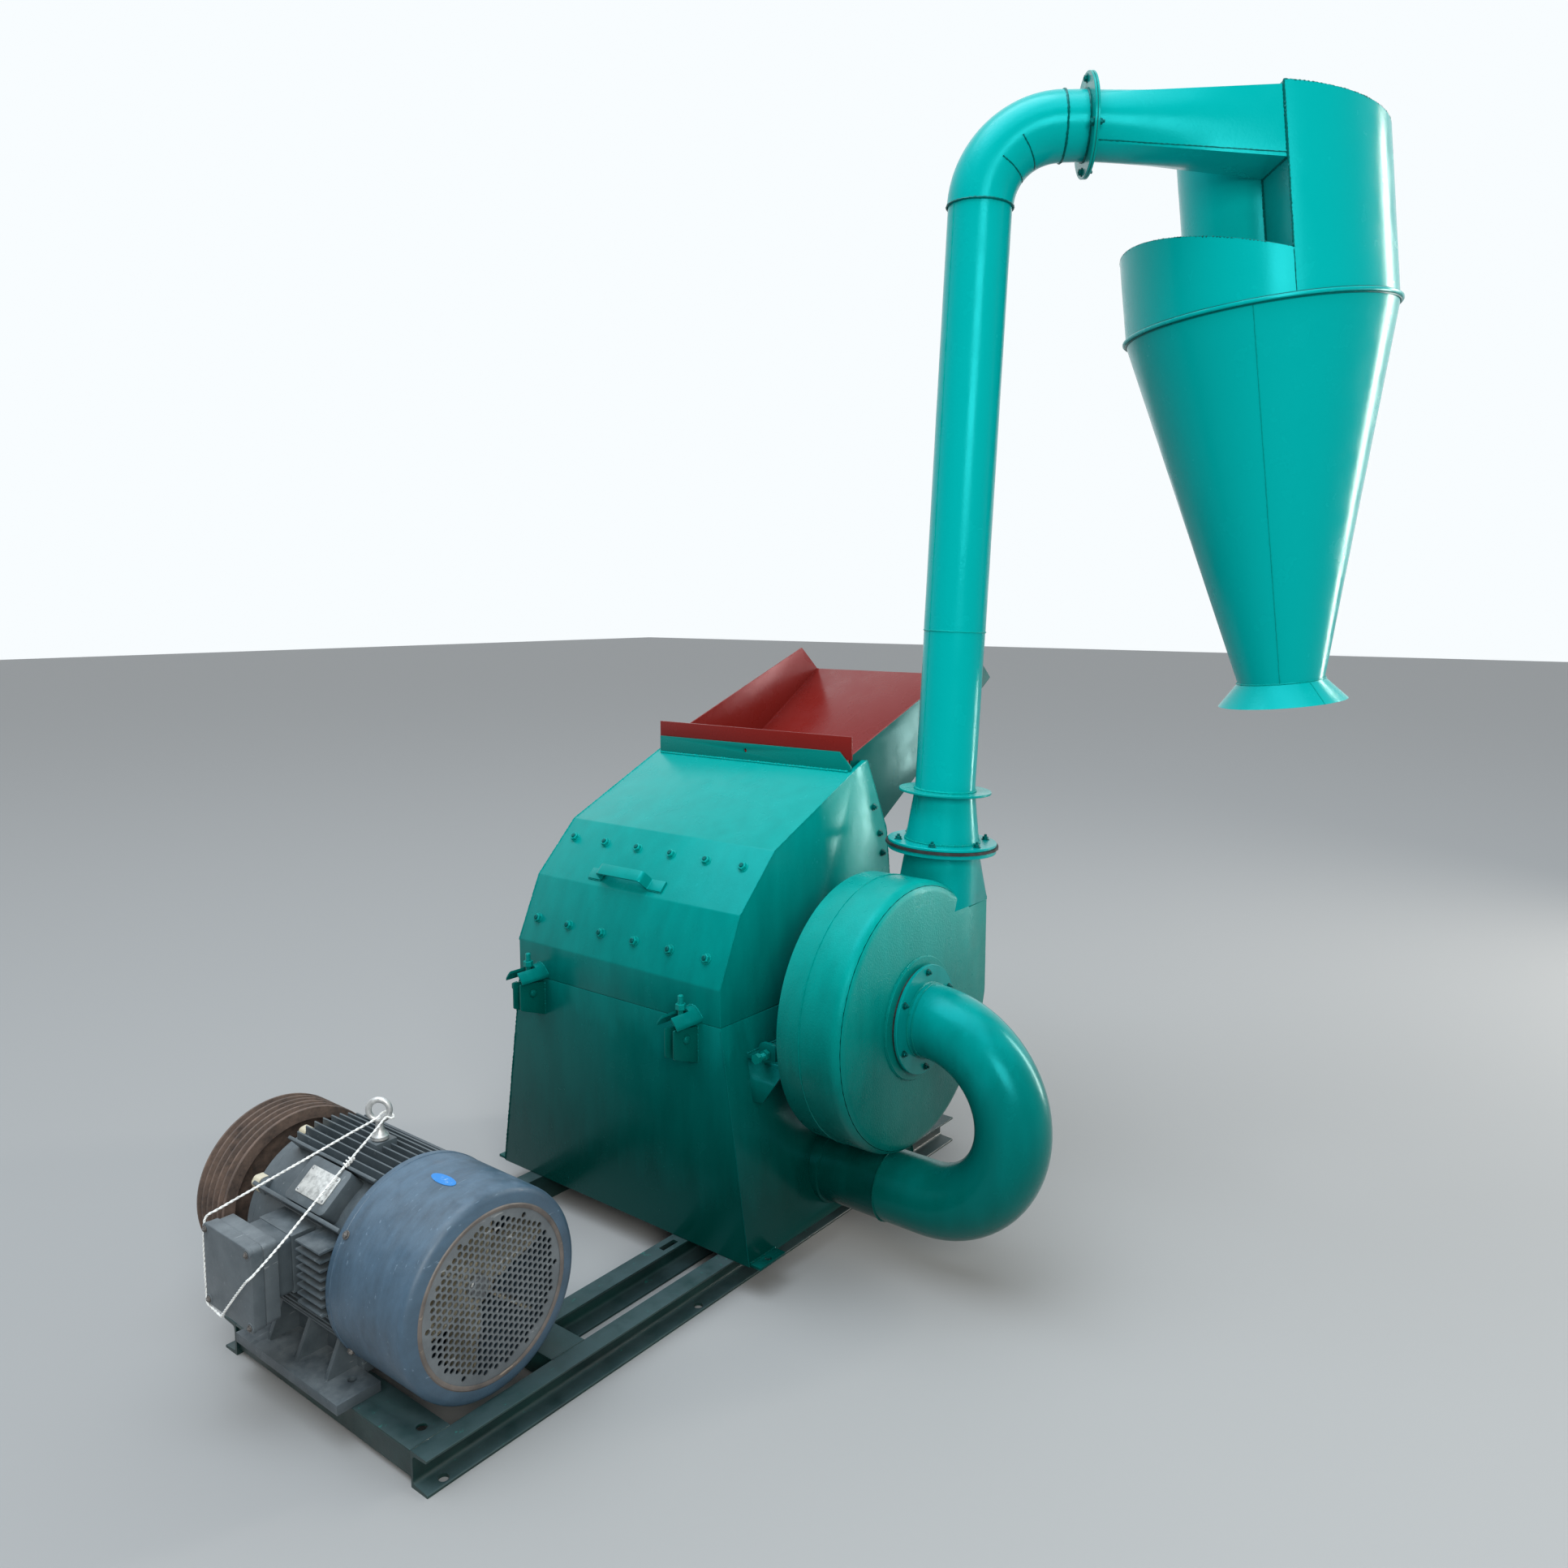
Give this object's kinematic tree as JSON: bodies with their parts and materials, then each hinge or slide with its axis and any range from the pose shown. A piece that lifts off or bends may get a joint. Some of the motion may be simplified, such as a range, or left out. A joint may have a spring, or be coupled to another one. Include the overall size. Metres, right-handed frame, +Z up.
{
  "type": "hammer mill",
  "caption": "Hammer mill on a channel base with a hinged cover, feed tray, side suction fan, discharge pipe, hanging cyclone and a loose drive motor.",
  "frame": {"origin": "on the floor under the middle of the overall bounding box", "axes": "+X along the base rails from the motor to the mill, +Y along the shafts from the fan to the pulleys, +Z up"},
  "size_m": [2.2356, 1.73, 2.4482],
  "materials": {
    "green_enamel": "glossy teal-green enamel brushed over welded sheet",
    "base_green": "dark green enamel with road dust on rolled channel",
    "tray_red": "brick-red enamel",
    "motor_paint": "worn grey-blue paint on cast iron and sheet",
    "cream_paint": "aged cream paint",
    "rusty_iron": "bare cast iron with brown rust",
    "bright_steel": "machined steel",
    "dark_steel": "dark rolled steel",
    "plate_metal": "dull blank aluminium plate",
    "rubber_sheet": "black sheet rubber",
    "white_cord": "thin white twisted cord"
  },
  "bodies": {
    "frame": {"rail_near": "base_green", "rail_far": "base_green", "rail_inner": "base_green", "cross_plate_front": "base_green", "cross_plate_mid": "base_green", "cross_plate_rear": "base_green", "lower_casing": "green_enamel", "hinge_pin": "dark_steel", "screen": "bright_steel", "bearing_bracket_near": "green_enamel", "bearing_bracket_far": "green_enamel", "bearing_near": "green_enamel", "bearing_far": "green_enamel", "fan_housing": "green_enamel", "fan_outlet": "green_enamel", "suction_bend_upper": "green_enamel", "suction_bend_lower": "green_enamel", "suction_pipe": "green_enamel", "outlet_gasket": "rubber_sheet", "reducer": "green_enamel", "riser_pipe": "green_enamel", "elbow_lower": "green_enamel", "elbow_upper": "green_enamel", "inlet_duct": "green_enamel", "cyclone_body": "green_enamel", "vortex_tube": "green_enamel", "cyclone_cone": "green_enamel", "motor_frame": "motor_paint", "end_shield_drive": "cream_paint", "end_shield_fan": "motor_paint", "fan_cowl": "motor_paint", "terminal_box": "motor_paint", "terminal_lid": "motor_paint", "nameplate": "plate_metal", "eyebolt": "bright_steel", "tie_cord": "white_cord"},
    "rotor": {"rotor_shaft": "bright_steel", "rotor_plates": "dark_steel", "hammer_pin_1": "bright_steel", "hammer_pin_2": "bright_steel", "hammer_pin_3": "bright_steel", "hammer_pin_4": "bright_steel", "mill_pulley": "rusty_iron", "fan_impeller": "dark_steel"},
    "hammers_1": {"hammer_row_1": "dark_steel"},
    "hammers_2": {"hammer_row_2": "dark_steel"},
    "hammers_3": {"hammer_row_3": "dark_steel"},
    "hammers_4": {"hammer_row_4": "dark_steel"},
    "cover": {"cover": "green_enamel", "cover_handle": "green_enamel", "feed_tray": "tray_red", "breaker_liner": "dark_steel"},
    "latch_near": {"latch_bolt_near": "green_enamel"},
    "latch_far": {"latch_bolt_far": "green_enamel"},
    "motor_rotor": {"motor_shaft": "bright_steel", "motor_pulley": "rusty_iron", "motor_fan": "cream_paint"}
  },
  "joints": [
    {"name": "rotor_spin", "type": "hinge", "parent": "frame", "child": "rotor", "pos_m": [0.01749, 0.37005, 0.541], "axis": [0, 1, 0], "continuous": true},
    {"name": "motor_spin", "type": "hinge", "parent": "frame", "child": "motor_rotor", "pos_m": [-0.84651, 0.37005, 0.2435], "axis": [0, 1, 0], "continuous": true},
    {"name": "hammer_swing_1", "type": "hinge", "parent": "rotor", "child": "hammers_1", "pos_m": [0.10588, 0.37005, 0.62939], "axis": [0, 1, 0], "range_deg": [-265, 8]},
    {"name": "hammer_swing_2", "type": "hinge", "parent": "rotor", "child": "hammers_2", "pos_m": [-0.0709, 0.37005, 0.62939], "axis": [0, 1, 0], "range_deg": [-8, 265]},
    {"name": "hammer_swing_3", "type": "hinge", "parent": "rotor", "child": "hammers_3", "pos_m": [-0.0709, 0.37005, 0.45261], "axis": [0, 1, 0], "range_deg": [-95, 180]},
    {"name": "hammer_swing_4", "type": "hinge", "parent": "rotor", "child": "hammers_4", "pos_m": [0.10588, 0.37005, 0.45261], "axis": [0, 1, 0], "range_deg": [-180, 95]},
    {"name": "cover_open", "type": "hinge", "parent": "frame", "child": "cover", "pos_m": [0.34649, 0.37005, 0.541], "axis": [0, 1, 0], "range_deg": [0, 60]},
    {"name": "latch_swing_near", "type": "hinge", "parent": "frame", "child": "latch_near", "pos_m": [-0.31751, 0.14005, 0.515], "axis": [0, 1, 0], "range_deg": [-100, 0]},
    {"name": "latch_swing_far", "type": "hinge", "parent": "frame", "child": "latch_far", "pos_m": [-0.31751, 0.60505, 0.515], "axis": [0, 1, 0], "range_deg": [-100, 0]}
  ]
}
